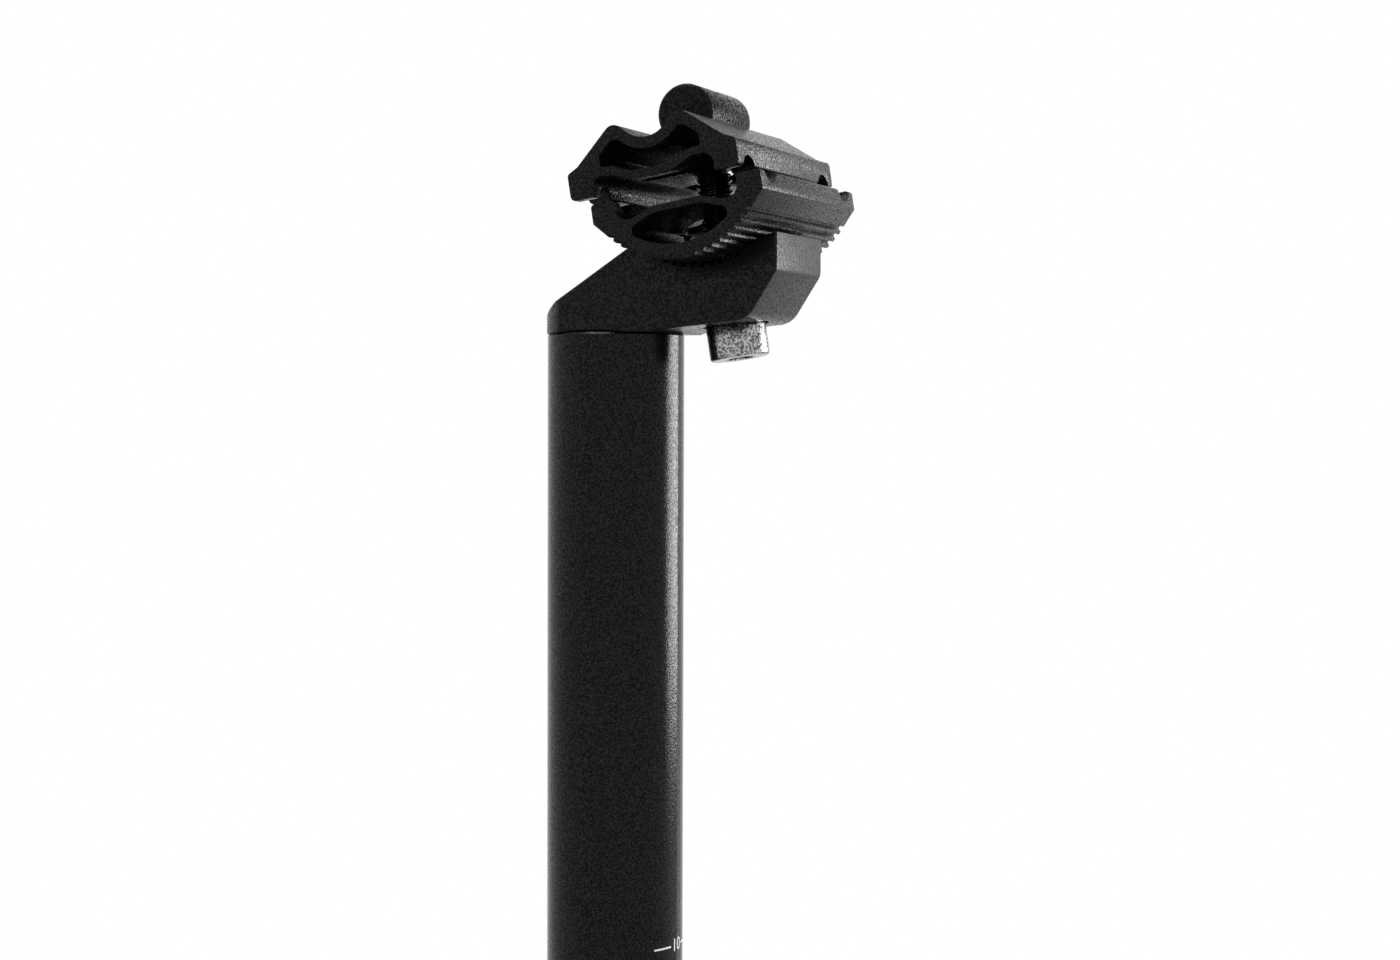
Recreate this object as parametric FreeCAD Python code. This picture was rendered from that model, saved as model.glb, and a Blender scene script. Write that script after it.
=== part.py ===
import FreeCAD, Part
import math
import os

# Bicycle seatpost with a one-bolt layback head, in millimetres and degrees.
# +Z runs up the tube, +X towards the rear wheel, Y across the bicycle.
# The origin is on the tube's axis at its lower end.

# Tube
tube_diameter = 30.9
tube_wall = 2.2
tube_length = 313.0
tube_end_chamfer = 0.4

# Head forging, heights from the seam with the tube
head_width = 27.4
head_edge_round = 0.8
head_lip = 0.2
front_shoulder = 2.6
front_round = 3.0
front_slope = 32.6
front_horn_drop = 15.7
rear_horn_drop = 19.0
rear_overhang = 18.85
rear_face_length = 8.0
rear_face_round = 3.0
rear_chamfer_slope = 57.0
underside_slope = 5.2
underside_round = 5.5
base_length = 15.2
base_step_run = 1.0
spigot_length = 32.0
spigot_wall = 3.5
spigot_floor = 4.0
bond_gap = 0.03

# Tilt centre: setback behind the tube's axis, height above the seam, tilt as it stands
setback = 25.6
pivot_height = 37.1
rest_tilt = 9.4

# Teeth of cradle and head, radii about the tilt centre.
# The bolt is slack, so the cradle's tips stand just clear of the head's.
teeth_per_turn = 66
tooth_tip_radius = 22.4
tooth_depth = 0.9
tooth_tip_share = 0.36
tooth_root_share = 0.26
ride_clearance = 0.1
cradle_side_teeth = 9
head_side_teeth = 6

# Both clamp halves
clamp_length = 55.7
clamp_half_width = 19.8
foot_width = 5.6
foot_inner_round = 0.5
clamp_gap = 1.6
rail_diameter = 7.0
rail_spacing = 44.0
rail_drop = 6.6

# Lower cradle
ear_height = 4.2
ear_round = 0.8
cradle_pocket_depth = 4.6
cradle_pocket_round = 2.6
cradle_ramp_end = 10.4
cradle_hump_depth = 2.9
cradle_hump_half_width = 5.6
cradle_hump_round = 4.0
cradle_ramp_round = 3.0
cradle_web = 1.45
cradle_shell = 2.3
cradle_window_half_width = 11.1
cradle_window_shoulder = 1.7
cradle_window_arc = 29.0
cradle_window_top_round = 1.4
cradle_window_side_round = 1.0

# Upper clamp, which stands forward of the cradle
upper_offset = -4.4
upper_half_width = 19.8
shoulder_height = 5.85
shoulder_round = 1.0
ledge_width = 2.6
ledge_rise = 1.2
flank_slope = 39.9
peak_round = 2.4
foot_round = 1.2
valley_floor = 4.45
valley_radius = 6.5
valley_slope = 43.0
upper_wall = 2.4
upper_web = 1.6
upper_web_lift = 2.1
upper_web_half_width = 4.6
upper_web_round = 3.0
upper_pocket_lift = 4.2
upper_ramp_end = 9.4
upper_pocket_round = 2.5
upper_window_half_width = 11.8
upper_window_peak_round = 2.2
upper_window_side_round = 0.8
upper_window_foot_round = 0.6

# Bolt, nut and washer
bolt_diameter = 8.0
bolt_offset = -2.1
bolt_reach_past_nut = 3.75
bolt_tip_chamfer = 0.9
bolt_head_diameter = 13.3
bolt_head_height = 8.0
bolt_head_chamfer = 0.7
hex_width = 6.0
hex_depth = 4.0
thread_clearance = 0.05
nut_diameter = 13.0
nut_length = 22.0
nut_chamfer = 0.5
nut_height = 10.9
nut_clearance = 0.1
nut_end_clearance = 0.3
washer_diameter = 13.1
washer_thickness = 0.9
washer_bore_clearance = 0.2
washer_hollow_radius = 60.0

# Bolt seat in the head, and the slots that the bolt swings in
seat_lift = 3.45
seat_depth = 2.0
seat_clearance = 0.45
seat_side_clearance = 0.3
slot_clearance = 0.35
slot_end_clearance = 0.3

# Tilt to each side, and the bolt's share of it, at which it pivots about its seat
tilt_range = 12.0
bolt_share = 0.25

# Worked out from the sizes above
tube_radius = tube_diameter / 2
bore_radius = round(tube_radius - tube_wall, 6)
head_front = -tube_radius - head_lip
tooth_pitch = 360.0 / teeth_per_turn
tooth_root_radius = tooth_tip_radius - tooth_depth
head_tip_radius = tooth_tip_radius + ride_clearance
head_root_radius = head_tip_radius + tooth_depth
foot_inner = clamp_half_width - foot_width
foot_bottom = clamp_gap / 2 - rail_drop
ear_top = foot_bottom - clamp_gap
bolt_radius = bolt_diameter / 2
slot_half_width = bolt_radius + slot_clearance
nut_radius = nut_diameter / 2
valley_height = valley_floor + valley_radius
seat_radius = pivot_height - seat_lift
washer_top_radius = seat_radius + seat_clearance
bolt_head_top = -washer_top_radius - washer_thickness
bolt_length = nut_height + bolt_reach_past_nut - bolt_head_top
bolt_lean = math.radians(bolt_share * tilt_range)
bolt_rock = math.radians(tilt_range) - bolt_lean
web_bottom = foot_bottom + upper_web_lift
nut_travel = nut_height * math.sin(math.radians(tilt_range))
cut_margin = 5.0


def point(u, w, y=0.0):
    """A point of a side view, u rearwards and w upwards."""
    return FreeCAD.Vector(u, y, w)


def polar(radius, degrees):
    """A side-view point at a radius from the tilt centre, its angle from straight down."""
    angle = math.radians(degrees)
    return (radius * math.sin(angle), -radius * math.cos(angle))


def tipped(u, w):
    """A point of the tilted clamp, given in the head's own side view."""
    tilt = math.radians(rest_tilt)
    along = setback + u * math.cos(tilt) - w * math.sin(tilt)
    up = pivot_height + u * math.sin(tilt) + w * math.cos(tilt)
    return (along, up)


def crossing(start, start_slope, other, other_slope):
    """Where two sloping lines of a side view cross, slopes in degrees."""
    rise = math.tan(math.radians(start_slope))
    other_rise = math.tan(math.radians(other_slope))
    u = (other[1] - start[1] + rise * start[0] - other_rise * other[0]) / (rise - other_rise)
    return (u, start[1] + rise * (u - start[0]))


def rounded(before, corner, after, radius):
    """Start, middle and end of the arc that rounds a corner."""
    tip = point(*corner[:2])
    back = (point(*before[:2]) - tip).normalize()
    ahead = (point(*after[:2]) - tip).normalize()
    half = back.getAngle(ahead) / 2
    reach = radius / math.tan(half)
    inward = (back + ahead).normalize()
    centre = tip + inward * (radius / math.sin(half))
    return tip + back * reach, centre - inward * radius, tip + ahead * reach


def outline(corners):
    """A closed wire through corners, each (u, w) or (u, w, rounding radius)."""
    stops = []
    for index, corner in enumerate(corners):
        if len(corner) == 2:
            stops.append((point(*corner), None, point(*corner)))
        else:
            after = corners[(index + 1) % len(corners)]
            stops.append(rounded(corners[index - 1], corner, after, corner[2]))
    edges = []
    for index, (start, middle, end) in enumerate(stops):
        if middle is not None:
            edges.append(Part.Arc(start, middle, end).toShape())
        following = stops[(index + 1) % len(stops)][0]
        if end.distanceToPoint(following) > 1e-6:
            edges.append(Part.makeLine(end, following))
    return Part.Wire(edges)


def across(wire, width):
    """A side-view wire made solid across the bicycle, half of it to each side."""
    face = Part.Face(wire)
    face.translate(FreeCAD.Vector(0, -width / 2, 0))
    return face.extrude(FreeCAD.Vector(0, width, 0))


def mirrored(half):
    """A symmetric outline from the corners of its rear half."""
    front = [(-corner[0],) + tuple(corner[1:]) for corner in reversed(half) if corner[0] > 0]
    return list(half) + front


def shifted(corners, offset):
    """Corners moved rearwards by an offset."""
    return [(corner[0] + offset,) + tuple(corner[1:]) for corner in corners]


def head_swing(radius):
    """How far the bolt moves along the head at a radius below the tilt centre, at full tilt."""
    return abs(nut_travel - (nut_height + radius) * math.sin(bolt_lean))


def slot(travel, half_width, low, high):
    """A round-ended slot cutter about the bolt's line."""
    height = high - low
    cutter = Part.makeBox(2 * travel, 2 * half_width, height, point(bolt_offset - travel, low, -half_width))
    for side in (-travel, travel):
        end = Part.makeCylinder(half_width, height, point(bolt_offset + side, low))
        cutter = cutter.fuse(end)
    return cutter.removeSplitter()


def swing_slot(low, high):
    """A slot through one wall of the clamp, as long as the bolt's swing about the nut at its foot."""
    travel = (nut_height - low) * math.tan(bolt_rock) + slot_end_clearance
    return slot(travel, slot_half_width, low, high)


def drum(radius, width, u=0.0, w=0.0):
    """A round solid lying across the bicycle."""
    return Part.makeCylinder(radius, width, point(u, w, -width / 2), FreeCAD.Vector(0, 1, 0))


def on_post(shape):
    """Tips a clamp shape by the rest tilt and sets it on the tilt centre."""
    placed = shape.copy()
    placed.rotate(point(0, 0), FreeCAD.Vector(0, 1, 0), -rest_tilt)
    placed.translate(point(setback, tube_length + pivot_height))
    return placed


def teeth(side_teeth, tip_radius, root_radius, tip_share, root_share):
    """Tooth corners about the tilt centre, rear to front, from the first tip to the last."""
    corners = []
    tip_half = tip_share / 2 * tooth_pitch
    root_half = root_share / 2 * tooth_pitch
    for index in range(side_teeth, -side_teeth - 1, -1):
        middle = index * tooth_pitch
        corners.append(polar(tip_radius, middle + tip_half))
        corners.append(polar(tip_radius, middle - tip_half))
        if index > -side_teeth:
            gap = middle - tooth_pitch / 2
            corners.append(polar(root_radius, gap + root_half))
            corners.append(polar(root_radius, gap - root_half))
    return corners


def rail_grooves():
    """Round cutters for the two saddle rails, along the clamp."""
    cutters = []
    reach = 2 * clamp_half_width + cut_margin
    for side in (-1, 1):
        start = point(-reach, -rail_drop, side * rail_spacing / 2)
        cutters.append(Part.makeCylinder(rail_diameter / 2, 2 * reach, start, point(1, 0)))
    return cutters


def post_tube():
    """Drawn tube, open at both ends, bevelled outside at the seam and inside at its foot."""
    tube = Part.makeCylinder(tube_radius, tube_length).cut(Part.makeCylinder(bore_radius, tube_length))
    bevelled = ((tube_radius, tube_length), (bore_radius, 0.0))
    rims = []
    for edge in tube.Edges:
        if len(edge.Vertexes) == 1 and isinstance(edge.Curve, Part.Circle):
            size = (round(edge.Curve.Radius, 6), round(edge.Curve.Center.z, 6))
            if size in bevelled:
                rims.append(edge)
    return tube.makeChamfer(tube_end_chamfer, rims)


def head_side_view():
    """Corners of the forging's side view, from the seam upwards."""
    front_top = (head_front, front_shoulder)
    front_horn = crossing(front_top, front_slope, tipped(0, -front_horn_drop), rest_tilt)
    rear_x = setback + rear_overhang
    rear_horn = crossing((rear_x, 0), 90.0 - 1e-9, tipped(0, -rear_horn_drop), rest_tilt)
    rear_low = (rear_x, rear_horn[1] - rear_face_length)
    under_bolt = tipped(bolt_offset, -seat_radius - seat_depth)
    underside = crossing(rear_low, rear_chamfer_slope, under_bolt, underside_slope)
    step_end = base_length + base_step_run
    step_top = under_bolt[1] - (under_bolt[0] - step_end) * math.tan(math.radians(underside_slope))
    return [
        (head_front, 0.0),
        (*front_top, front_round),
        front_horn,
        tipped(0, -front_horn_drop),
        tipped(0, -rear_horn_drop),
        rear_horn,
        (*rear_low, rear_face_round),
        (*underside, underside_round),
        (step_end, step_top),
        (base_length, 0.0),
    ]


def saddle_cutter():
    """The round saddle cut in the head: teeth along its floor, plain beyond them."""
    toothed = teeth(head_side_teeth, head_root_radius, head_tip_radius, tooth_root_share, tooth_tip_share)
    rear_end = point(*toothed[0])
    front_end = point(*toothed[-1])
    path = [point(*corner) for corner in toothed]
    edges = [Part.makeLine(first, second) for first, second in zip(path, path[1:])]
    edges.append(Part.Arc(front_end, point(0, head_root_radius), rear_end).toShape())
    return across(Part.Wire(edges), clamp_length)


def seat_pocket():
    """The washer's pocket under the head, its floor an arc about the tilt centre."""
    half_width = bolt_head_diameter / 2 + seat_side_clearance
    travel = head_swing(washer_top_radius + washer_thickness) + slot_end_clearance
    block = slot(travel, half_width, -2 * pivot_height, -seat_radius + cut_margin)
    return block.cut(drum(seat_radius, clamp_length))


def post_head():
    """Forging with its spigot: round front, flat sides, toothed saddle and bolt slot."""
    head = across(outline(head_side_view()), head_width)
    sides = [edge for edge in head.Edges if edge.BoundBox.YLength < 1e-6]
    head = head.makeFillet(head_edge_round, sides)
    front = Part.makeCylinder(-head_front, 2 * pivot_height)
    rear = Part.makeBox(3 * setback, head_width, 2 * pivot_height, point(0, 0, -head_width / 2))
    head = head.common(front.fuse(rear))
    spigot_radius = bore_radius - bond_gap
    spigot = Part.makeCylinder(spigot_radius, spigot_length, point(0, -spigot_length))
    hollow_length = spigot_length - spigot_floor
    hollow = Part.makeCylinder(spigot_radius - spigot_wall, hollow_length, point(0, -spigot_length))
    head = head.fuse(spigot).cut(hollow)
    head.translate(point(0, tube_length))
    travel = max(head_swing(tooth_tip_radius), head_swing(washer_top_radius)) + slot_end_clearance
    bolt_slot = slot(travel, slot_half_width, -pivot_height - cut_margin, 0.0)
    for cutter in (saddle_cutter(), seat_pocket(), bolt_slot):
        head = head.cut(on_post(cutter))
    return head.removeSplitter()


def lower_cradle():
    """Extruded cradle: toothed below, an ear and a rail groove each side, a long window."""
    pocket = ear_top - cradle_pocket_depth
    hump = ear_top - cradle_hump_depth
    rear_half = [
        (cradle_hump_half_width, hump, cradle_hump_round),
        (cradle_ramp_end, pocket, cradle_ramp_round),
        (foot_inner, pocket, cradle_pocket_round),
        (foot_inner, ear_top, foot_inner_round),
        (clamp_half_width, ear_top, ear_round),
        (clamp_half_width, ear_top - ear_height),
    ]
    front_half = [(-corner[0],) + tuple(corner[1:]) for corner in reversed(rear_half)]
    toothed = teeth(cradle_side_teeth, tooth_tip_radius, tooth_root_radius, tooth_tip_share, tooth_root_share)
    body = across(outline(rear_half + toothed + front_half), clamp_length)
    shell_radius = tooth_root_radius - cradle_shell
    arc_foot = -shell_radius / math.cos(math.radians(cradle_window_arc))
    side_rise = cradle_window_half_width * math.tan(math.radians(cradle_window_arc))
    window_side_top = pocket - cradle_window_shoulder
    window = mirrored([
        (cradle_hump_half_width, hump - cradle_web, cradle_hump_round),
        (cradle_window_half_width, window_side_top, cradle_window_top_round),
        (cradle_window_half_width, arc_foot + side_rise, cradle_window_side_round),
        (0.0, arc_foot, shell_radius),
    ])
    body = body.cut(across(outline(window), clamp_length + cut_margin))
    body = body.cut(swing_slot(window_side_top, 0.0))
    body = body.cut(swing_slot(-head_tip_radius, window_side_top))
    return on_post(body.cut(rail_grooves()))


def upper_clamp():
    """Extruded top clamp: two feet with ledges, two peaks, a valley with the nut's seat, a long window."""
    shoulder = (upper_half_width, foot_bottom + shoulder_height)
    flank_foot = (upper_half_width - ledge_width, shoulder[1] + ledge_rise)
    slope_drop = 1 / math.cos(math.radians(valley_slope))
    valley = (0.0, valley_height - valley_radius * slope_drop)
    peak = crossing(flank_foot, -flank_slope, valley, valley_slope)
    pocket = foot_bottom + upper_pocket_lift
    body = across(outline(shifted(mirrored([
        (*valley, valley_radius),
        (*peak, peak_round),
        flank_foot,
        (*shoulder, shoulder_round),
        (upper_half_width, foot_bottom, foot_round),
        (foot_inner, foot_bottom, foot_inner_round),
        (foot_inner, pocket, upper_pocket_round),
        (upper_ramp_end, pocket, upper_pocket_round),
        (upper_web_half_width, web_bottom, upper_web_round),
    ]), upper_offset)), clamp_length)
    inner_radius = valley_radius + upper_wall
    inner_valley = (0.0, valley_height - inner_radius * slope_drop)
    flank_drop = upper_wall / math.cos(math.radians(flank_slope))
    inner_foot = (flank_foot[0], flank_foot[1] - flank_drop)
    inner_peak = crossing(inner_foot, -flank_slope, inner_valley, valley_slope)
    side_rise = (inner_foot[0] - upper_window_half_width) * math.tan(math.radians(flank_slope))
    web_top = pocket + upper_web
    window = shifted(mirrored([
        (*inner_valley, inner_radius),
        (*inner_peak, upper_window_peak_round),
        (upper_window_half_width, inner_foot[1] + side_rise, upper_window_side_round),
        (upper_window_half_width, web_top, upper_window_foot_round),
        (upper_ramp_end, web_top, upper_pocket_round),
        (upper_web_half_width, web_bottom + upper_web, upper_web_round),
    ]), upper_offset)
    body = body.cut(across(outline(window), clamp_length + cut_margin))
    seat_length = nut_length + 2 * nut_end_clearance
    body = body.cut(drum(nut_radius + nut_clearance, seat_length, bolt_offset, nut_height))
    body = body.cut(swing_slot(web_bottom, web_top))
    body = body.cut(swing_slot(web_top, valley_height))
    return on_post(body.cut(rail_grooves()))


def barrel_nut():
    """Cross dowel lying in the valley, threaded through for the bolt."""
    nut = drum(nut_radius, nut_length, bolt_offset, nut_height)
    rims = [edge for edge in nut.Edges if len(edge.Vertexes) == 1 and isinstance(edge.Curve, Part.Circle)]
    nut = nut.makeChamfer(nut_chamfer, rims)
    hole_start = point(bolt_offset, nut_height - nut_diameter)
    return on_post(nut.cut(Part.makeCylinder(bolt_radius + thread_clearance, 2 * nut_diameter, hole_start)))


def clamp_bolt():
    """Socket head cap screw, its head below the forging and its tip in the nut."""
    tip = bolt_head_top + bolt_length
    head_bottom = bolt_head_top - bolt_head_height
    head_radius = bolt_head_diameter / 2
    profile = Part.makePolygon([
        point(0, tip),
        point(bolt_radius - bolt_tip_chamfer, tip),
        point(bolt_radius, tip - bolt_tip_chamfer),
        point(bolt_radius, bolt_head_top),
        point(head_radius, bolt_head_top),
        point(head_radius, head_bottom + bolt_head_chamfer),
        point(head_radius - bolt_head_chamfer, head_bottom),
        point(0, head_bottom),
        point(0, tip),
    ])
    bolt = Part.Face(profile).revolve(point(0, 0), point(0, 1), 360)
    corner_radius = hex_width / math.sqrt(3)
    corners = []
    for index in range(7):
        angle = math.radians(60 * index)
        corners.append(point(corner_radius * math.cos(angle), head_bottom, corner_radius * math.sin(angle)))
    socket = Part.Face(Part.makePolygon(corners)).extrude(point(0, hex_depth))
    bolt = bolt.cut(socket)
    bolt.translate(point(bolt_offset, 0))
    return on_post(bolt)


def bolt_washer():
    """Washer between bolt head and forging, its top hollowed a little flatter than its seat."""
    height = 2 * washer_thickness
    base = point(bolt_offset, bolt_head_top)
    disc = Part.makeCylinder(washer_diameter / 2, height, base)
    bore = Part.makeCylinder(bolt_radius + washer_bore_clearance, height, base)
    seat_lean = math.degrees(math.asin(bolt_offset / washer_top_radius))
    hollow_centre = polar(washer_top_radius - washer_hollow_radius, seat_lean)
    return on_post(disc.cut(bore).cut(drum(washer_hollow_radius, clamp_length, *hollow_centre)))


def main():
    """Builds every piece and writes it to its own file."""
    os.makedirs("parts", exist_ok=True)
    pieces = {
        "post_tube": post_tube(),
        "post_head": post_head(),
        "lower_cradle": lower_cradle(),
        "upper_clamp": upper_clamp(),
        "barrel_nut": barrel_nut(),
        "clamp_bolt": clamp_bolt(),
        "bolt_washer": bolt_washer(),
    }
    for name, shape in pieces.items():
        shape.exportStep(f"parts/{name}.step")
        print(name, len(shape.Solids), shape.isValid(), round(shape.Volume, 1))
    print("tilt centre", setback, tube_length + pivot_height)
    print("nut centre", on_post(Part.Vertex(point(bolt_offset, nut_height))).Point)
    print("bolt length", round(bolt_length, 2))
    print("tilt range", tilt_range, "bolt against clamp", round(math.degrees(bolt_rock), 2))


main()
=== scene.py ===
"""Black alloy bicycle seatpost: tube, layback head, saddle clamp and its bolt, as photographed.

Everything is in metres in the part's own frame: +Z up the tube, +X rearwards, Y across the bicycle.
"""

import logging
import math
from dataclasses import dataclass, field
from enum import Enum
from typing import Callable

import bmesh
import bpy
from mathutils import Matrix, Vector


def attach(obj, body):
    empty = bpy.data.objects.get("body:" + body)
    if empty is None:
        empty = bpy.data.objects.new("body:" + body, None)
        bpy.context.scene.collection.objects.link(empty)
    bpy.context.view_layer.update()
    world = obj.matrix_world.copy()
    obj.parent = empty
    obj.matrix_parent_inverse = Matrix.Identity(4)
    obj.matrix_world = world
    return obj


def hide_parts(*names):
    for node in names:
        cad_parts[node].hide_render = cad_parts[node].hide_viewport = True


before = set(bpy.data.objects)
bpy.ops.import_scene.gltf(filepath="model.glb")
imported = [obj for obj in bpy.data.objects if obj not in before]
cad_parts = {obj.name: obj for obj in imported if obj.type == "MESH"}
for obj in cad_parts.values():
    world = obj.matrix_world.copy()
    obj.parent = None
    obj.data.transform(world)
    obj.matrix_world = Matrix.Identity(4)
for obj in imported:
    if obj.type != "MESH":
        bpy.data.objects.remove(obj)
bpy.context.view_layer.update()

LOG = logging.getLogger("seatpost")
MM = 0.001
SHARP_DEGREES = 28.0
SMOOTH_DEGREES = 32.0
COPLANAR_DEGREES = 0.5
CAD_MERGE = 0.002 * MM
MERGE = 0.001 * MM
SAME_PLACE = 1e-6
SAME_RADIUS = 1e-5
SENSOR_MM = 36.0
FACES_UP = 0.9

Point = tuple[float, float, float]
Pair = tuple[float, float]
Nodes = bpy.types.Nodes
Links = bpy.types.NodeLinks
Socket = bpy.types.NodeSocket


class Body(Enum):
    """The three rigid bodies of the post."""

    POST = "post"
    CLAMP = "clamp"
    BOLT_SET = "bolt_set"


class Slot(Enum):
    """The record's material slots."""

    TUBE = "tube"
    HEAD = "head"
    CLAMP = "clamp"
    NUT = "nut_steel"
    BOLT = "bolt_steel"


# Small tools around bpy.ops


def deselect_all() -> None:
    """Leaves nothing selected or active, in object mode."""
    if bpy.context.object is not None and bpy.context.object.mode != "OBJECT":
        bpy.ops.object.mode_set(mode="OBJECT")
    bpy.ops.object.select_all(action="DESELECT")


def activate(obj: bpy.types.Object) -> None:
    """Makes an object the only selected and active one.

    Args:
        obj: The object.
    """
    deselect_all()
    obj.select_set(True)
    bpy.context.view_layer.objects.active = obj


def bake_place(obj: bpy.types.Object) -> None:
    """Moves an object's place, turn and scale into its mesh."""
    activate(obj)
    bpy.ops.object.transform_apply(location=True, rotation=True, scale=True)


def in_edit_mode(obj: bpy.types.Object, mode: str = "FACE") -> None:
    """Opens edit mode with nothing selected.

    Args:
        obj: The mesh object.
        mode: VERT, EDGE or FACE select mode.
    """
    activate(obj)
    bpy.ops.object.mode_set(mode="EDIT")
    bpy.ops.mesh.select_mode(type=mode)
    bpy.ops.mesh.select_all(action="DESELECT")


def pick_faces(obj: bpy.types.Object, wanted: Callable[[bmesh.types.BMFace], bool]) -> None:
    """Selects exactly the faces that a test accepts, in edit mode.

    Args:
        obj: The mesh object, open in edit mode.
        wanted: The test for a face.
    """
    mesh = bmesh.from_edit_mesh(obj.data)
    for face in mesh.faces:
        face.select_set(wanted(face))
    mesh.select_flush_mode()
    bmesh.update_edit_mesh(obj.data)


def pick_edges(obj: bpy.types.Object, wanted: Callable[[bmesh.types.BMEdge], bool]) -> None:
    """Selects exactly the edges that a test accepts, in edit mode.

    Args:
        obj: The mesh object, open in edit mode.
        wanted: The test for an edge.
    """
    mesh = bmesh.from_edit_mesh(obj.data)
    for edge in mesh.edges:
        edge.select_set(wanted(edge))
    mesh.select_flush_mode()
    bmesh.update_edit_mesh(obj.data)


def apply_modifier(obj: bpy.types.Object, kind: str, **settings: object) -> None:
    """Adds a modifier with its settings and applies it.

    Args:
        obj: The mesh object.
        kind: The modifier's type.
        settings: Its properties.
    """
    activate(obj)
    modifier = obj.modifiers.new(kind.lower(), kind)
    for name, value in settings.items():
        setattr(modifier, name, value)
    bpy.ops.object.modifier_apply(modifier=modifier.name)


def join(parts: list[bpy.types.Object], name: str) -> bpy.types.Object:
    """Joins objects into the first and names it.

    Args:
        parts: The objects, the one that stays first.
        name: The joined object's name.

    Returns:
        The joined object.
    """
    activate(parts[0])
    for part in parts[1:]:
        part.select_set(True)
    bpy.ops.object.join()
    parts[0].name = name
    return parts[0]


def smooth(obj: bpy.types.Object, degrees: float = SMOOTH_DEGREES) -> None:
    """Shades an object smooth but for its edges sharper than an angle in degrees."""
    activate(obj)
    bpy.ops.object.shade_smooth_by_angle(angle=math.radians(degrees))


def softened_copy(node: str, edge_round: float, segments: int, name: str) -> bpy.types.Object:
    """Copies a CAD node, rounds the copy's sharp edges and puts it in the node's place.

    Args:
        node: The CAD node.
        edge_round: Width of the rounding, in metres.
        segments: Steps of the rounding.
        name: The copy's name.

    Returns:
        The copy.
    """
    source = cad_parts[node]
    piece = source.copy()
    piece.data = source.data.copy()
    piece.parent = None
    piece.name = name
    bpy.context.scene.collection.objects.link(piece)
    in_edit_mode(piece, "VERT")
    bpy.ops.mesh.select_all(action="SELECT")
    bpy.ops.mesh.customdata_custom_splitnormals_clear()
    bpy.ops.mesh.remove_doubles(threshold=CAD_MERGE)
    bpy.ops.mesh.dissolve_limited(angle_limit=math.radians(COPLANAR_DEGREES), delimit={"NORMAL"})
    deselect_all()
    apply_modifier(
        piece, "BEVEL", width=edge_round, segments=segments, limit_method="ANGLE",
        angle_limit=math.radians(SHARP_DEGREES), use_clamp_overlap=True, harden_normals=False,
    )
    smooth(piece)
    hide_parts(node)
    return piece


@dataclass(frozen=True)
class Tilt:
    """The clamp's own side view: u rearwards, w upwards, tipped about the tilt centre."""

    centre: Point
    degrees: float

    def matrix(self) -> Matrix:
        """The turn and place that carry the clamp's side view into the frame."""
        turn = Matrix.Rotation(math.radians(-self.degrees), 4, "Y")
        return Matrix.Translation(Vector(self.centre)) @ turn


# Finishes


@dataclass(frozen=True)
class BlastedAlloy:
    """Black anodised aluminium with a bead-blasted grain, whose crests shine more than its hollows.

    Each span is the part of the grain's noise over which a property changes from hollow to crest.
    """

    name: str
    colour: float
    roughness: float
    grain_mm: float
    grain_depth: float
    hollow_gloss: float
    crest_gloss: float
    hollow_roughness: float
    grain_height_mm: float = 0.2
    crest_shade: float = 2.0
    hollow_blue: float = 1.05
    crest_blue: float = 1.03
    colour_span: Pair = (0.42, 0.78)
    roughness_span: Pair = (0.42, 0.6)
    gloss_span: Pair = (0.4, 0.62)
    refraction: float = 1.5

    def material(self) -> bpy.types.Material:
        """Builds the node material.

        Returns:
            The material.
        """
        material, nodes, links, shader = new_material(self.name)
        grain = grain_noise(nodes, links, object_place(nodes), self.grain_mm)
        crest = self.colour * self.crest_shade
        shade = shades(
            nodes, links, grain, self.colour_span,
            (self.colour, self.colour, self.colour * self.hollow_blue),
            (crest, crest, crest * self.crest_blue),
        )
        roughness = spread(
            nodes, links, grain, self.roughness_span, (self.hollow_roughness, self.roughness)
        )
        gloss = spread(
            nodes, links, grain, self.gloss_span, (self.hollow_gloss, self.crest_gloss)
        )
        links.new(shade, shader.inputs["Base Color"])
        links.new(roughness, shader.inputs["Roughness"])
        links.new(gloss, shader.inputs["Specular IOR Level"])
        emboss(nodes, links, shader, grain, self.grain_depth, self.grain_height_mm * MM)
        shader.inputs["Metallic"].default_value = 0.0
        shader.inputs["IOR"].default_value = self.refraction
        return material


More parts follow.
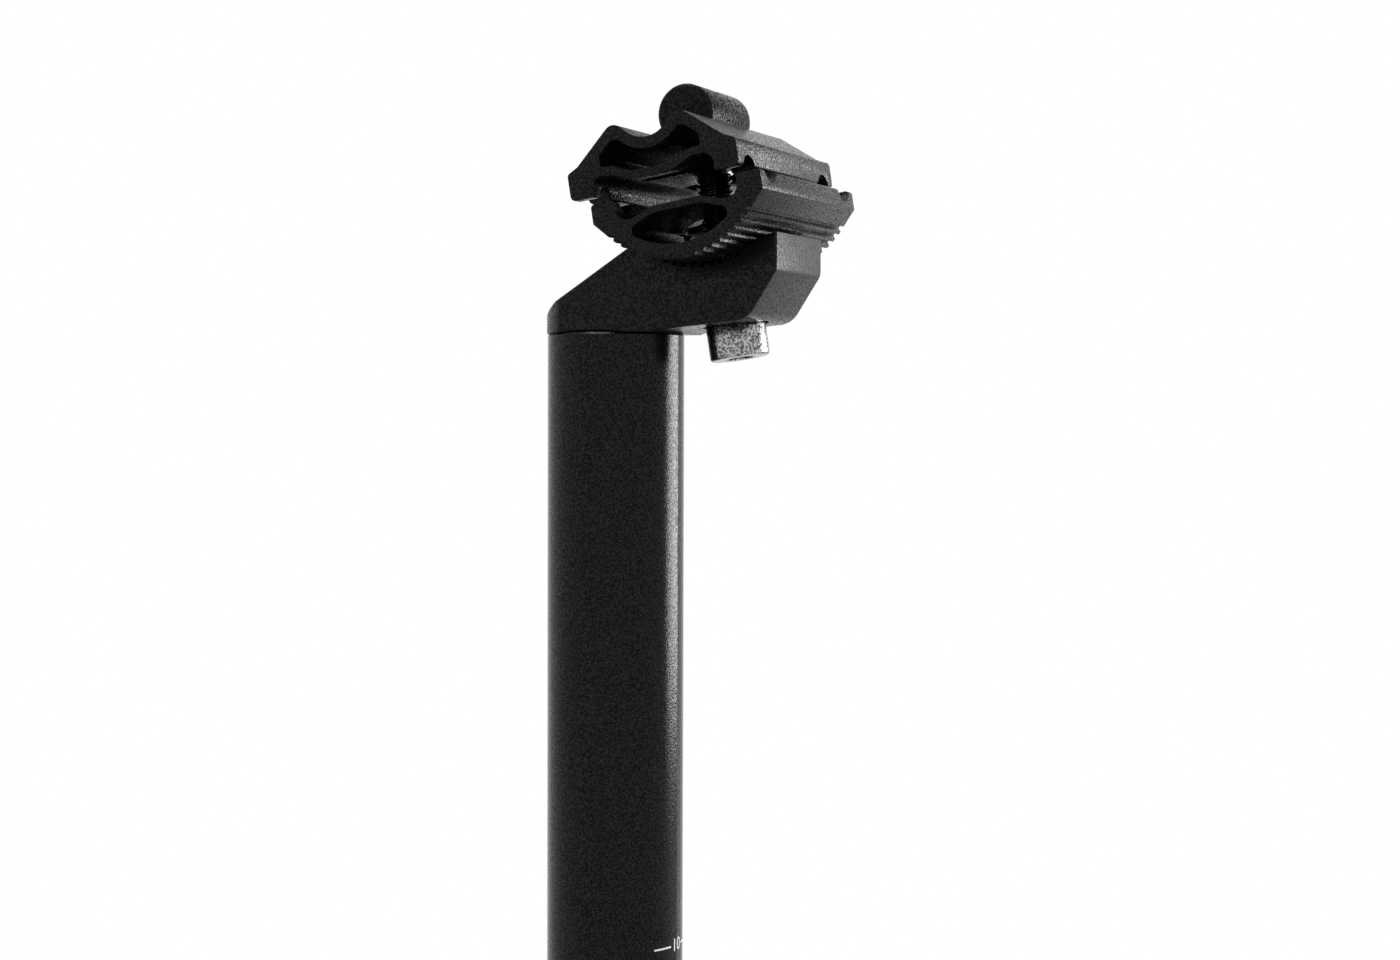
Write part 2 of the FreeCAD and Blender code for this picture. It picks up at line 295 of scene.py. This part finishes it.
@dataclass(frozen=True)
class Steel:
    """Plated steel, mottled, darkened above a height by painted shade where the screw runs inside
    the clamp's bore and cavities.
    """

    name: str
    hollow: float
    crest: float
    roughness: float
    grain_mm: float
    grain_depth: float
    grain_height_mm: float = 0.1
    # Painted shade: above this height the colour is scaled down to stand for the shade inside the
    # clamp's cavities.
    grease_from: float = 318.0 * MM
    grease_edge: float = 1.0 * MM
    grease_shade: float = 0.12
    crest_blue: float = 1.01
    colour_span: Pair = (0.4, 0.62)
    roughness_span: Pair = (0.3, 0.7)
    roughness_ends: Pair = (0.8, 1.2)

    def material(self) -> bpy.types.Material:
        """Builds the node material.

        Returns:
            The material.
        """
        material, nodes, links, shader = new_material(self.name)
        place = object_place(nodes)
        grain = grain_noise(nodes, links, place, self.grain_mm)
        shade = shades(
            nodes, links, grain, self.colour_span,
            (self.hollow, self.hollow, self.hollow),
            (self.crest, self.crest, self.crest * self.crest_blue),
        )
        # Painted shade: the colour falls to a fraction of itself above the height where the screw
        # enters the clamp.
        height = nodes.new("ShaderNodeSeparateXYZ")
        links.new(place, height.inputs[0])
        heights = (self.grease_from, self.grease_from + self.grease_edge)
        cavity_shaded = nodes.new("ShaderNodeVectorMath")
        cavity_shaded.operation = "SCALE"
        links.new(shade, cavity_shaded.inputs[0])
        factor = spread(nodes, links, height.outputs["Z"], heights, (1.0, self.grease_shade))
        links.new(factor, cavity_shaded.inputs["Scale"])
        links.new(cavity_shaded.outputs["Vector"], shader.inputs["Base Color"])
        low, high = (self.roughness * end for end in self.roughness_ends)
        roughness = spread(nodes, links, grain, self.roughness_span, (low, high))
        links.new(roughness, shader.inputs["Roughness"])
        emboss(nodes, links, shader, grain, self.grain_depth, self.grain_height_mm * MM)
        shader.inputs["Metallic"].default_value = 1.0
        return material


@dataclass(frozen=True)
class Ink:
    """Pale printed ink, slightly worn."""

    name: str
    colour: float
    roughness: float = 0.5
    worn_shade: float = 0.6
    wear_mm: float = 0.3
    wear_detail: float = 3.0
    wear_sharpness: float = 0.6
    wear_span: Pair = (0.25, 0.5)

    def material(self) -> bpy.types.Material:
        """Builds the node material.

        Returns:
            The material.
        """
        material, nodes, links, shader = new_material(self.name)
        scale = 1 / (self.wear_mm * MM)
        wear = noise(
            nodes, links, object_place(nodes), scale, self.wear_detail, self.wear_sharpness
        )
        worn = self.colour * self.worn_shade
        shade = shades(
            nodes, links, wear, self.wear_span,
            (worn, worn, worn), (self.colour, self.colour, self.colour),
        )
        links.new(shade, shader.inputs["Base Color"])
        shader.inputs["Roughness"].default_value = self.roughness
        return material


def new_material(name: str) -> tuple[bpy.types.Material, Nodes, Links, bpy.types.Node]:
    """Makes an empty node material.

    Args:
        name: The material's name.

    Returns:
        The material, its nodes, its links and its Principled shader.
    """
    material = bpy.data.materials.new(name)
    material.use_nodes = True
    nodes = material.node_tree.nodes
    return material, nodes, material.node_tree.links, nodes["Principled BSDF"]


def object_place(nodes: Nodes) -> Socket:
    """The Object coordinates of a material."""
    return nodes.new("ShaderNodeTexCoord").outputs["Object"]


def noise(
    nodes: Nodes, links: Links, vector: Socket, scale: float, detail: float, roughness: float
) -> Socket:
    """A noise texture on the given coordinates.

    Args:
        nodes: The material's nodes.
        links: The material's links.
        vector: The socket with the coordinates.
        scale: Noise scale per metre.
        detail: Octaves.
        roughness: Weight of the finer octaves.

    Returns:
        The texture's factor socket.
    """
    texture = nodes.new("ShaderNodeTexNoise")
    texture.inputs["Scale"].default_value = scale
    texture.inputs["Detail"].default_value = detail
    texture.inputs["Roughness"].default_value = roughness
    links.new(vector, texture.inputs["Vector"])
    return texture.outputs["Fac"]


def grain_noise(nodes: Nodes, links: Links, vector: Socket, size_mm: float) -> Socket:
    """The noise of a blasted grain of the given size, in millimetres."""
    return noise(nodes, links, vector, 1 / (size_mm * MM), detail=1.0, roughness=0.5)


def shades(
    nodes: Nodes, links: Links, value: Socket, span: Pair, low: Point, high: Point
) -> Socket:
    """A ramp from one colour to another.

    Args:
        nodes: The material's nodes.
        links: The material's links.
        value: The socket that drives the ramp.
        span: The values between which the colour changes.
        low: The colour below the span.
        high: The colour above it.

    Returns:
        The ramp's colour socket.
    """
    ramp = nodes.new("ShaderNodeValToRGB")
    for stop, position, colour in zip(ramp.color_ramp.elements, span, (low, high)):
        stop.position = position
        stop.color = (*colour, 1)
    links.new(value, ramp.inputs["Fac"])
    return ramp.outputs["Color"]


def spread(nodes: Nodes, links: Links, value: Socket, span: Pair, ends: Pair) -> Socket:
    """A straight change from one number to another.

    Args:
        nodes: The material's nodes.
        links: The material's links.
        value: The socket that drives the change.
        span: The values between which the number changes.
        ends: The number below the span and above it.

    Returns:
        The socket with the number.
    """
    step = nodes.new("ShaderNodeMapRange")
    step.inputs["From Min"].default_value, step.inputs["From Max"].default_value = span
    step.inputs["To Min"].default_value, step.inputs["To Max"].default_value = ends
    links.new(value, step.inputs["Value"])
    return step.outputs["Result"]


def emboss(
    nodes: Nodes, links: Links, shader: bpy.types.Node,
    grain: Socket, strength: float, height: float,
) -> None:
    """Gives a shader the grain as a bump.

    Args:
        nodes: The material's nodes.
        links: The material's links.
        shader: The Principled shader.
        grain: The grain's noise.
        strength: The bump's strength.
        height: The bump's height, in metres.
    """
    bump = nodes.new("ShaderNodeBump")
    bump.inputs["Strength"].default_value = strength
    bump.inputs["Distance"].default_value = height
    links.new(grain, bump.inputs["Height"])
    links.new(bump.outputs["Normal"], shader.inputs["Normal"])


def dress(obj: bpy.types.Object, material: bpy.types.Material) -> None:
    """Gives a piece its only material.

    Args:
        obj: The piece.
        material: Its finish.
    """
    obj.data.materials.clear()
    obj.data.materials.append(material)


def report(obj: bpy.types.Object, words: str) -> None:
    """Logs a finished piece, what it is in a few words, and its face count."""
    LOG.info("%s: %s, %d faces", obj.name, words, len(obj.data.polygons))


# The post


@dataclass
class PrintedScale:
    """The height scale printed on the back of the tube, a line each side of every number."""

    surface_radius: float = 15.45 * MM
    top_height: float = 175.35 * MM
    step: float = 10.0 * MM
    top_number: int = 10
    digit_height: float = 3.0 * MM
    line_half_width: float = 0.2 * MM
    line_end: float = 8.0 * MM
    line_start: float = 2.6 * MM
    lowest_line_height: float = 74.0 * MM
    lowest_line_end: float = 12.0 * MM
    film: float = 0.012 * MM
    sunk_share: float = 0.3
    size_per_digit_height: float = 1.38
    curve_steps: int = 4
    line_cuts: int = 12

    def number(self, value: int, height: float) -> bpy.types.Object:
        """One number as a flat mesh in the YZ plane, centred on the line.

        Args:
            value: The number.
            height: The line's height up the tube.

        Returns:
            The flat mesh object.
        """
        deselect_all()
        bpy.ops.object.text_add(location=(0, 0, 0))
        text = bpy.context.object
        text.data.body = str(value)
        text.data.align_x = "CENTER"
        text.data.align_y = "CENTER"
        text.data.size = self.digit_height * self.size_per_digit_height
        text.data.resolution_u = self.curve_steps
        text.rotation_euler = (math.radians(90), 0, math.radians(90))
        text.location = (0, 0, height)
        activate(text)
        bpy.ops.object.convert(target="MESH")
        bake_place(text)
        return text

    def line(self, start: float, end: float, height: float) -> bpy.types.Object:
        """A thin printed line as a divided flat strip in the YZ plane.

        Args:
            start: Where it starts across the tube.
            end: Where it ends.
            height: Its height up the tube.

        Returns:
            The flat mesh object.
        """
        deselect_all()
        middle = (0, (start + end) / 2, height)
        upright = (0, math.radians(90), 0)
        bpy.ops.mesh.primitive_plane_add(size=1, location=middle, rotation=upright)
        strip = bpy.context.object
        strip.scale = (2 * self.line_half_width, end - start, 1)
        bake_place(strip)
        in_edit_mode(strip, "EDGE")
        pick_edges(
            strip, lambda edge: abs(edge.verts[0].co.y - edge.verts[1].co.y) > SAME_PLACE
        )
        bpy.ops.mesh.subdivide(number_cuts=self.line_cuts)
        deselect_all()
        return strip

    def wrap(self, obj: bpy.types.Object) -> None:
        """Wraps a flat print round the tube and gives it a thin closed film.

        Args:
            obj: The flat print in the YZ plane.
        """
        in_edit_mode(obj, "VERT")
        mesh = bmesh.from_edit_mesh(obj.data)
        for vertex in mesh.verts:
            angle = vertex.co.y / self.surface_radius
            radius = self.surface_radius - self.sunk_share * self.film
            vertex.co.x = radius * math.cos(angle)
            vertex.co.y = radius * math.sin(angle)
        bmesh.update_edit_mesh(obj.data)
        bpy.ops.mesh.select_all(action="SELECT")
        bpy.ops.mesh.remove_doubles(threshold=MERGE)
        bpy.ops.mesh.normals_make_consistent(inside=False)
        deselect_all()
        apply_modifier(obj, "SOLIDIFY", thickness=self.film, offset=1.0)

    def build(self, ink: bpy.types.Material) -> bpy.types.Object:
        """Builds the scale's numbers and lines as one print on the tube.

        Args:
            ink: The print's material.

        Returns:
            The finished print.
        """
        parts = []
        for index in range(self.top_number):
            height = self.top_height - index * self.step
            parts.append(self.number(self.top_number - index, height))
            for side in (-1, 1):
                ends = sorted((side * self.line_start, side * self.line_end))
                parts.append(self.line(ends[0], ends[1], height))
        parts.append(
            self.line(-self.lowest_line_end, self.lowest_line_end, self.lowest_line_height)
        )
        print_work = join(parts, "printed_height_scale")
        self.wrap(print_work)
        dress(print_work, ink)
        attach(print_work, Body.POST.value)
        report(print_work, "numbers and lines on the tube's back")
        return print_work


@dataclass
class Post:
    """The tube, the head forging on it and the printed scale."""

    head_edge_round: float = 0.35 * MM
    head_edge_steps: int = 3
    scale: PrintedScale = field(default_factory=PrintedScale)

    def build(self, tube_finish: BlastedAlloy, head_finish: BlastedAlloy, ink: Ink) -> None:
        """Dresses the tube, softens the head and prints the scale.

        Args:
            tube_finish: The tube's finish.
            head_finish: The head's finish.
            ink: The scale's ink.
        """
        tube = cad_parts["post_tube"]
        dress(tube, tube_finish.material())
        smooth(tube)
        report(tube, "drawn tube")
        head = softened_copy(
            "post_head", self.head_edge_round, self.head_edge_steps, "head_forging"
        )
        dress(head, head_finish.material())
        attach(head, Body.POST.value)
        report(head, "layback head")
        self.scale.build(ink.material())


@dataclass
class SaddleClamp:
    """The toothed lower cradle and the clamp above it."""

    edge_round: float = 0.16 * MM
    edge_steps: int = 2

    def build(self, finish: BlastedAlloy) -> None:
        """Softens and dresses both halves.

        Args:
            finish: The finish of both.
        """
        material = finish.material()
        for node, name in (("lower_cradle", "toothed_cradle"), ("upper_clamp", "top_clamp")):
            half = softened_copy(node, self.edge_round, self.edge_steps, name)
            dress(half, material)
            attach(half, Body.CLAMP.value)
            report(half, "clamp half")


@dataclass
class Thread:
    """A metric thread as one helical ridge."""

    major_radius: float = 4.0 * MM
    pitch: float = 1.25 * MM
    depth: float = 0.72 * MM
    steps: int = 40
    half_root_share: float = 0.44
    half_crest_share: float = 0.07
    overlap: float = 0.1 * MM

    def ridge(self, bottom: float, turns: int, name: str) -> bpy.types.Object:
        """A helical ridge about the Z axis.

        Args:
            bottom: Height of the ridge's first turn.
            turns: Whole turns.
            name: The object's name.

        Returns:
            The ridge, closed at both ends.
        """
        crest = self.major_radius
        root = crest - self.depth
        buried = root - self.overlap
        half_root = self.pitch * self.half_root_share
        half_crest = self.pitch * self.half_crest_share
        corners = [
            (buried, -half_root), (root, -half_root), (crest, -half_crest),
            (crest, half_crest), (root, half_root), (buried, half_root),
        ]
        deselect_all()
        bpy.ops.mesh.primitive_circle_add(vertices=len(corners), radius=crest, fill_type="NGON")
        section = bpy.context.object
        section.name = name
        in_edit_mode(section, "VERT")
        mesh = bmesh.from_edit_mesh(section.data)
        mesh.verts.ensure_lookup_table()
        for vertex, (radius, height) in zip(mesh.verts, corners):
            vertex.co = (radius, 0, bottom + height)
        bmesh.update_edit_mesh(section.data)
        bpy.ops.mesh.select_all(action="SELECT")
        bpy.ops.mesh.delete(type="ONLY_FACE")
        deselect_all()
        apply_modifier(
            section, "SCREW", angle=math.radians(360), screw_offset=self.pitch,
            iterations=turns, steps=self.steps, render_steps=self.steps, use_smooth_shade=False,
        )
        in_edit_mode(section, "VERT")
        bpy.ops.mesh.select_all(action="SELECT")
        bpy.ops.mesh.remove_doubles(threshold=MERGE)
        bpy.ops.mesh.select_all(action="DESELECT")
        bpy.ops.mesh.select_non_manifold()
        bpy.ops.mesh.edge_face_add()
        bpy.ops.mesh.select_all(action="SELECT")
        bpy.ops.mesh.normals_make_consistent(inside=False)
        deselect_all()
        return section


@dataclass
class BoltSet:
    """The M8 socket screw, built along +Z and tipped into place, its washer and its cross nut."""

    tilt: Tilt
    offset: float = -2.1 * MM
    head_bottom: float = -43.0 * MM
    head_top: float = -35.0 * MM
    head_radius: float = 6.65 * MM
    thread: Thread = field(default_factory=Thread)
    thread_start: float = -16.0 * MM
    tip: float = 14.65 * MM
    hex_width: float = 6.0 * MM
    hex_depth: float = 4.0 * MM
    facets: int = 96
    runout: float = 0.5 * MM
    tip_height: float = 0.6 * MM
    tip_taper: float = 0.82
    foot_round: float = 0.75 * MM
    foot_steps: int = 4
    foot_fullness: float = 0.6
    top_round: float = 0.2 * MM
    top_steps: int = 2
    lead_in_facets: int = 64
    lead_in_outside: float = 0.7 * MM
    lead_in_inside: float = 0.9 * MM
    lead_in_height: float = 1.6 * MM
    lead_in_lift: float = 0.1 * MM
    thread_margin: float = 1.0 * MM
    first_turn_share: float = 0.9
    smooth_degrees: float = 40.0
    nut_edge_round: float = 0.35 * MM
    washer_edge_round: float = 0.12 * MM
    edge_steps: int = 2

    def settle(self, obj: bpy.types.Object) -> None:
        """Puts a piece built about the Z axis onto the tilted bolt line.

        Args:
            obj: The piece.
        """
        bolt_line = self.tilt.matrix() @ Matrix.Translation((self.offset, 0, 0))
        obj.matrix_world = bolt_line @ obj.matrix_world
        bake_place(obj)

    def shank(self) -> bpy.types.Object:
        """The screw's head and core, turned up from one cylinder.

        Returns:
            The closed body about the Z axis.
        """
        deselect_all()
        middle = (self.head_top + self.head_bottom) / 2
        height = self.head_top - self.head_bottom
        bpy.ops.mesh.primitive_cylinder_add(
            vertices=self.facets, radius=self.head_radius, depth=height, location=(0, 0, middle)
        )
        body = bpy.context.object
        bake_place(body)
        in_edit_mode(body)
        pick_faces(body, lambda face: face.normal.z > FACES_UP)
        grip = self.head_radius - self.thread.major_radius
        bpy.ops.mesh.inset(thickness=grip)
        core = self.thread.major_radius - self.thread.depth
        self.pull_up(self.thread_start - self.head_top)
        self.pull_up(self.runout, core / self.thread.major_radius)
        self.pull_up(self.tip - self.thread_start - self.runout - self.tip_height)
        self.pull_up(self.tip_height, self.tip_taper)
        pick_edges(body, lambda edge: self.on_rim(edge, self.head_bottom, self.head_radius))
        bpy.ops.mesh.bevel(
            offset=self.foot_round, segments=self.foot_steps, profile=self.foot_fullness
        )
        pick_edges(body, lambda edge: self.on_rim(edge, self.head_top, self.head_radius))
        bpy.ops.mesh.bevel(offset=self.top_round, segments=self.top_steps)
        deselect_all()
        return body

    @staticmethod
    def pull_up(distance: float, grow: float = 1.0) -> None:
        """Extrudes the selected cap upwards and resizes it.

        Args:
            distance: How far up.
            grow: What its radius is multiplied by.
        """
        bpy.ops.mesh.extrude_region_move(TRANSFORM_OT_translate={"value": (0, 0, distance)})
        if grow != 1.0:
            bpy.ops.transform.resize(value=(grow, grow, 1))

    @staticmethod
    def on_rim(edge: bmesh.types.BMEdge, height: float, radius: float) -> bool:
        """Whether an edge lies on a circle about the Z axis.

        Args:
            edge: The edge.
            height: The circle's height.
            radius: The circle's radius.

        Returns:
            True if both its ends do.
        """
        return all(
            abs(end.co.z - height) < SAME_PLACE
            and abs(math.hypot(end.co.x, end.co.y) - radius) < SAME_RADIUS
            for end in edge.verts
        )

    def key_socket(self, body: bpy.types.Object) -> None:
        """Cuts the hexagon socket, with its lead-in cone, into the head's foot.

        Args:
            body: The screw's body about the Z axis.
        """
        deselect_all()
        corner = self.hex_width / math.sqrt(3)
        bpy.ops.mesh.primitive_cylinder_add(
            vertices=6, radius=corner, depth=2 * self.hex_depth, location=(0, 0, self.head_bottom)
        )
        hexagon = bpy.context.object
        deselect_all()
        bpy.ops.mesh.primitive_cone_add(
            vertices=self.lead_in_facets, depth=self.lead_in_height,
            radius1=corner + self.lead_in_outside, radius2=corner - self.lead_in_inside,
            location=(0, 0, self.head_bottom + self.lead_in_lift),
        )
        cone = bpy.context.object
        for cutter in (hexagon, cone):
            bake_place(cutter)
            apply_modifier(body, "BOOLEAN", operation="DIFFERENCE", object=cutter, solver="EXACT")
            bpy.data.objects.remove(cutter)

    def build_bolt(self, finish: Steel) -> None:
        """Builds the socket screw with its thread.

        Args:
            finish: The screw's finish.
        """
        body = self.shank()
        self.key_socket(body)
        threaded = self.tip - self.thread_start - self.thread_margin
        turns = int(threaded / self.thread.pitch) - 1
        first_turn = self.thread_start + self.first_turn_share * self.thread.pitch
        ridge = self.thread.ridge(first_turn, turns, "thread_ridge")
        bolt = join([body, ridge], "socket_screw")
        self.settle(bolt)
        smooth(bolt, self.smooth_degrees)
        dress(bolt, finish.material())
        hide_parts("clamp_bolt")
        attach(bolt, Body.BOLT_SET.value)
        report(bolt, "socket screw")

    def build_nut(self, finish: BlastedAlloy) -> None:
        """Softens and dresses the cross nut.

        Args:
            finish: The nut's finish.
        """
        nut = softened_copy(
            "barrel_nut", self.nut_edge_round, self.edge_steps, "cross_nut_body"
        )
        dress(nut, finish.material())
        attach(nut, Body.BOLT_SET.value)
        report(nut, "cross nut")

    def build_washer(self, finish: Steel) -> None:
        """Softens and dresses the washer under the bolt's head.

        Args:
            finish: The washer's finish.
        """
        washer = softened_copy(
            "bolt_washer", self.washer_edge_round, self.edge_steps, "bolt_seat_washer"
        )
        dress(washer, finish.material())
        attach(washer, Body.BOLT_SET.value)
        report(washer, "washer")


# The studio


@dataclass(frozen=True)
class SoftLamp:
    """A rectangular soft lamp, with its width and height as its size."""

    name: str
    place: Point
    target: Point
    size: Pair
    watts: float

    def build(self) -> None:
        """Adds the lamp to the scene, aimed at its target."""
        data = bpy.data.lights.new(self.name, "AREA")
        data.shape = "RECTANGLE"
        data.size, data.size_y = self.size
        data.energy = self.watts
        lamp = bpy.data.objects.new(self.name, data)
        bpy.context.scene.collection.objects.link(lamp)
        place = Vector(self.place)
        turn = (Vector(self.target) - place).to_track_quat("-Z", "Y").to_matrix().to_4x4()
        lamp.matrix_world = Matrix.Translation(place) @ turn


@dataclass
class Studio:
    """Pale floor, soft lamps, plain world and the camera at the photograph's viewing angle."""

    seam_height: float = 313.0 * MM
    eye_distance: float = 526.17 * MM
    eye_bearing: float = 25.75
    eye_drop: float = 17.46 * MM
    view_bearing: float = 23.67
    view_pitch: float = -1.69
    view_roll: float = 0.18
    focal_pixels: float = 2317.95
    image_width: float = 1400.0
    nearest_seen: float = 0.01
    floor_radius: float = 0.6
    floor_facets: int = 96
    floor_drop: float = 0.5 * MM
    floor_shade: float = 0.82
    floor_roughness: float = 0.9
    floor_fade_start: float = 0.3
    floor_fade_end_share: float = 0.95
    grey_light: float = 0.6
    soft_lamps: tuple[SoftLamp, ...] = (
        SoftLamp(
            "key_right_rear", place=(0.723, 0.78, 0.37), target=(0.02, 0.0, 0.37),
            size=(0.5, 0.54), watts=10.18,
        ),
        SoftLamp(
            "fill_top", place=(-0.1, -0.1, 1.3), target=(0.02, 0.0, 0.33),
            size=(0.6, 0.6), watts=5.0,
        ),
    )

    def camera(self) -> None:
        """Sets up the camera as it stood for the photograph."""
        bearing = math.radians(self.eye_bearing)
        place = Vector((
            math.sin(bearing) * self.eye_distance,
            -math.cos(bearing) * self.eye_distance,
            self.seam_height - self.eye_drop,
        ))
        heading = math.radians(self.view_bearing)
        pitch = math.radians(self.view_pitch)
        forward = Vector((
            -math.sin(heading) * math.cos(pitch),
            math.cos(heading) * math.cos(pitch),
            math.sin(pitch),
        ))
        data = bpy.data.cameras.new("eye")
        data.sensor_width = SENSOR_MM
        data.lens = self.focal_pixels * SENSOR_MM / self.image_width
        data.clip_start = self.nearest_seen
        camera = bpy.data.objects.new("eye", data)
        bpy.context.scene.collection.objects.link(camera)
        turn = forward.to_track_quat("-Z", "Y").to_matrix().to_4x4()
        roll = Matrix.Rotation(math.radians(self.view_roll), 4, "Z")
        camera.matrix_world = Matrix.Translation(place) @ turn @ roll
        bpy.context.scene.camera = camera

    def floor(self) -> None:
        """A round pale floor under the tube's end that fades to white at its rim."""
        deselect_all()
        bpy.ops.mesh.primitive_circle_add(
            vertices=self.floor_facets, radius=self.floor_radius, fill_type="NGON",
            location=(0, 0, -self.floor_drop),
        )
        floor = bpy.context.object
        floor.name = "studio_floor"
        bake_place(floor)
        material, nodes, links, shader = new_material("pale_floor")
        shade = self.floor_shade
        shader.inputs["Base Color"].default_value = (shade, shade, shade, 1)
        shader.inputs["Roughness"].default_value = self.floor_roughness
        distance = nodes.new("ShaderNodeVectorMath")
        distance.operation = "LENGTH"
        links.new(object_place(nodes), distance.inputs[0])
        fade = nodes.new("ShaderNodeMapRange")
        fade.interpolation_type = "SMOOTHSTEP"
        fade.inputs["From Min"].default_value = self.floor_fade_start
        fade.inputs["From Max"].default_value = self.floor_radius * self.floor_fade_end_share
        links.new(distance.outputs["Value"], fade.inputs["Value"])
        white = nodes.new("ShaderNodeEmission")
        mix = nodes.new("ShaderNodeMixShader")
        seen = nodes.new("ShaderNodeMath")
        seen.operation = "MULTIPLY"
        links.new(fade.outputs["Result"], seen.inputs[0])
        links.new(self.looked_at(nodes, links), seen.inputs[1])
        links.new(seen.outputs[0], mix.inputs["Fac"])
        links.new(shader.outputs["BSDF"], mix.inputs[1])
        links.new(white.outputs["Emission"], mix.inputs[2])
        links.new(mix.outputs["Shader"], nodes["Material Output"].inputs["Surface"])
        floor.data.materials.append(material)

    @staticmethod
    def looked_at(nodes: Nodes, links: Links) -> Socket:
        """A socket that is 1 where the camera, a reflection or a transmitted ray looks.

        Args:
            nodes: The nodes of a material or the world.
            links: Their links.

        Returns:
            The socket.
        """
        path = nodes.new("ShaderNodeLightPath")
        seen = path.outputs["Is Camera Ray"]
        for ray in ("Is Glossy Ray", "Is Transmission Ray"):
            either = nodes.new("ShaderNodeMath")
            either.operation = "MAXIMUM"
            links.new(seen, either.inputs[0])
            links.new(path.outputs[ray], either.inputs[1])
            seen = either.outputs[0]
        return seen

    def world(self) -> None:
        """White where camera, reflections and transmitted rays look, plain grey for the rest."""
        world = bpy.data.worlds.new("studio_world")
        world.use_nodes = True
        nodes, links = world.node_tree.nodes, world.node_tree.links
        nodes.clear()
        white = nodes.new("ShaderNodeBackground")
        white.inputs["Color"].default_value = (1, 1, 1, 1)
        grey = nodes.new("ShaderNodeBackground")
        level = self.grey_light
        grey.inputs["Color"].default_value = (level, level, level, 1)
        mix = nodes.new("ShaderNodeMixShader")
        links.new(self.looked_at(nodes, links), mix.inputs["Fac"])
        links.new(grey.outputs["Background"], mix.inputs[1])
        links.new(white.outputs["Background"], mix.inputs[2])
        output = nodes.new("ShaderNodeOutputWorld")
        links.new(mix.outputs["Shader"], output.inputs["Surface"])
        bpy.context.scene.world = world

    def build(self) -> None:
        """Sets the whole studio up."""
        bpy.context.scene.view_settings.view_transform = "Standard"
        self.camera()
        self.floor()
        for lamp in self.soft_lamps:
            lamp.build()
        self.world()


def main() -> None:
    """Builds the post, the clamp, the bolt set and the studio."""
    logging.basicConfig(level=logging.INFO, format="%(message)s")
    tilt = Tilt(centre=(25.6 * MM, 0.0, 350.1 * MM), degrees=9.4)
    tube_finish = BlastedAlloy(
        "tube_black", colour=0.002, roughness=0.13, grain_mm=0.4, grain_depth=0.22,
        hollow_gloss=0.0594, crest_gloss=0.216, hollow_roughness=0.18,
    )
    head_finish = BlastedAlloy(
        "head_black", colour=0.003, roughness=0.12, grain_mm=0.45, grain_depth=0.25,
        hollow_gloss=0.0672, crest_gloss=0.1932, hollow_roughness=0.42,
    )
    clamp_finish = BlastedAlloy(
        "clamp_black", colour=0.003, roughness=0.12, grain_mm=0.45, grain_depth=0.6,
        hollow_gloss=0.0588, crest_gloss=0.1932, hollow_roughness=0.44,
    )
    nut_finish = BlastedAlloy(
        "nut_skin", colour=0.011, roughness=0.07, grain_mm=0.6, grain_depth=0.6,
        hollow_gloss=0.0, crest_gloss=0.06, hollow_roughness=0.35,
    )
    bolt_finish = Steel(
        "bright_steel", hollow=0.08, crest=0.45, roughness=0.22, grain_mm=0.55, grain_depth=0.2
    )
    washer_finish = Steel(
        "washer_steel", hollow=0.4, crest=0.65, roughness=0.28, grain_mm=0.5, grain_depth=0.2
    )
    Post().build(tube_finish, head_finish, Ink("scale_ink", colour=0.75))
    SaddleClamp().build(clamp_finish)
    bolts = BoltSet(tilt)
    bolts.build_bolt(bolt_finish)
    bolts.build_nut(nut_finish)
    bolts.build_washer(washer_finish)
    Studio().build()


if __name__ == "__main__":
    main()
